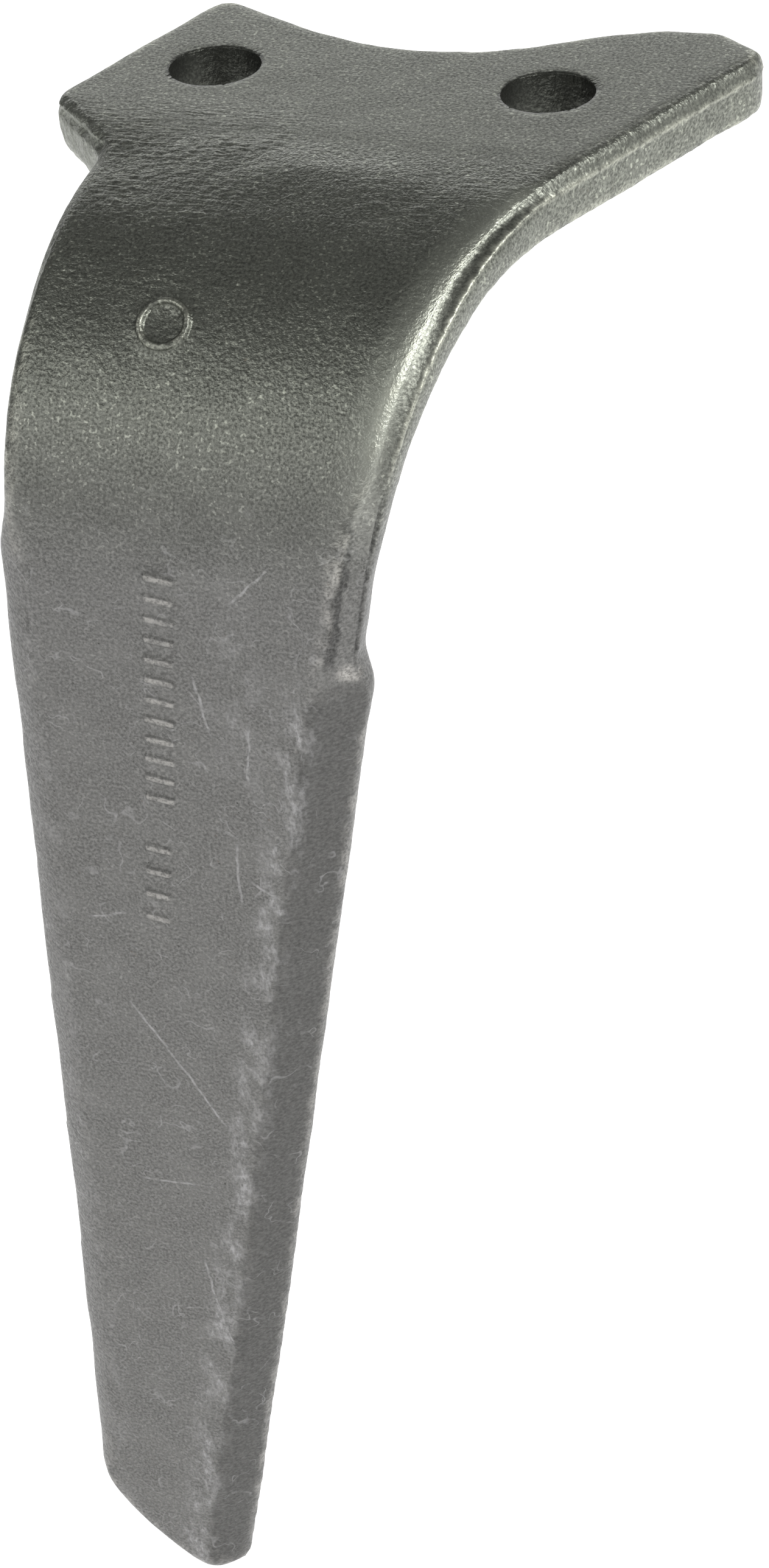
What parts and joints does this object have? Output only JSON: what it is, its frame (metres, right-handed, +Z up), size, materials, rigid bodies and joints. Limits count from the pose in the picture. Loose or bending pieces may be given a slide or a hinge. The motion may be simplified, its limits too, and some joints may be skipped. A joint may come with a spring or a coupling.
{
  "type": "power harrow tine",
  "caption": "Right-hand power harrow tine: a flat two-hole bolting flange, a wide bend and a long tapered blade, forged in one piece.",
  "frame": {"origin": "midway between the two bolt holes, on the flange's flat top face, which bolts up under the rotor", "axes": "+Z up along the bolts, away from the blade; +X along the row of holes towards the flange's long nose; +Y back, away from the bend and the blade"},
  "size_m": [0.1222, 0.1241, 0.2983],
  "materials": {
    "forged_steel": "bare shot-blasted forging steel, satin, worn bright along the ridges"
  },
  "bodies": {
    "root": {"tine": "forged_steel"}
  },
  "joints": []
}
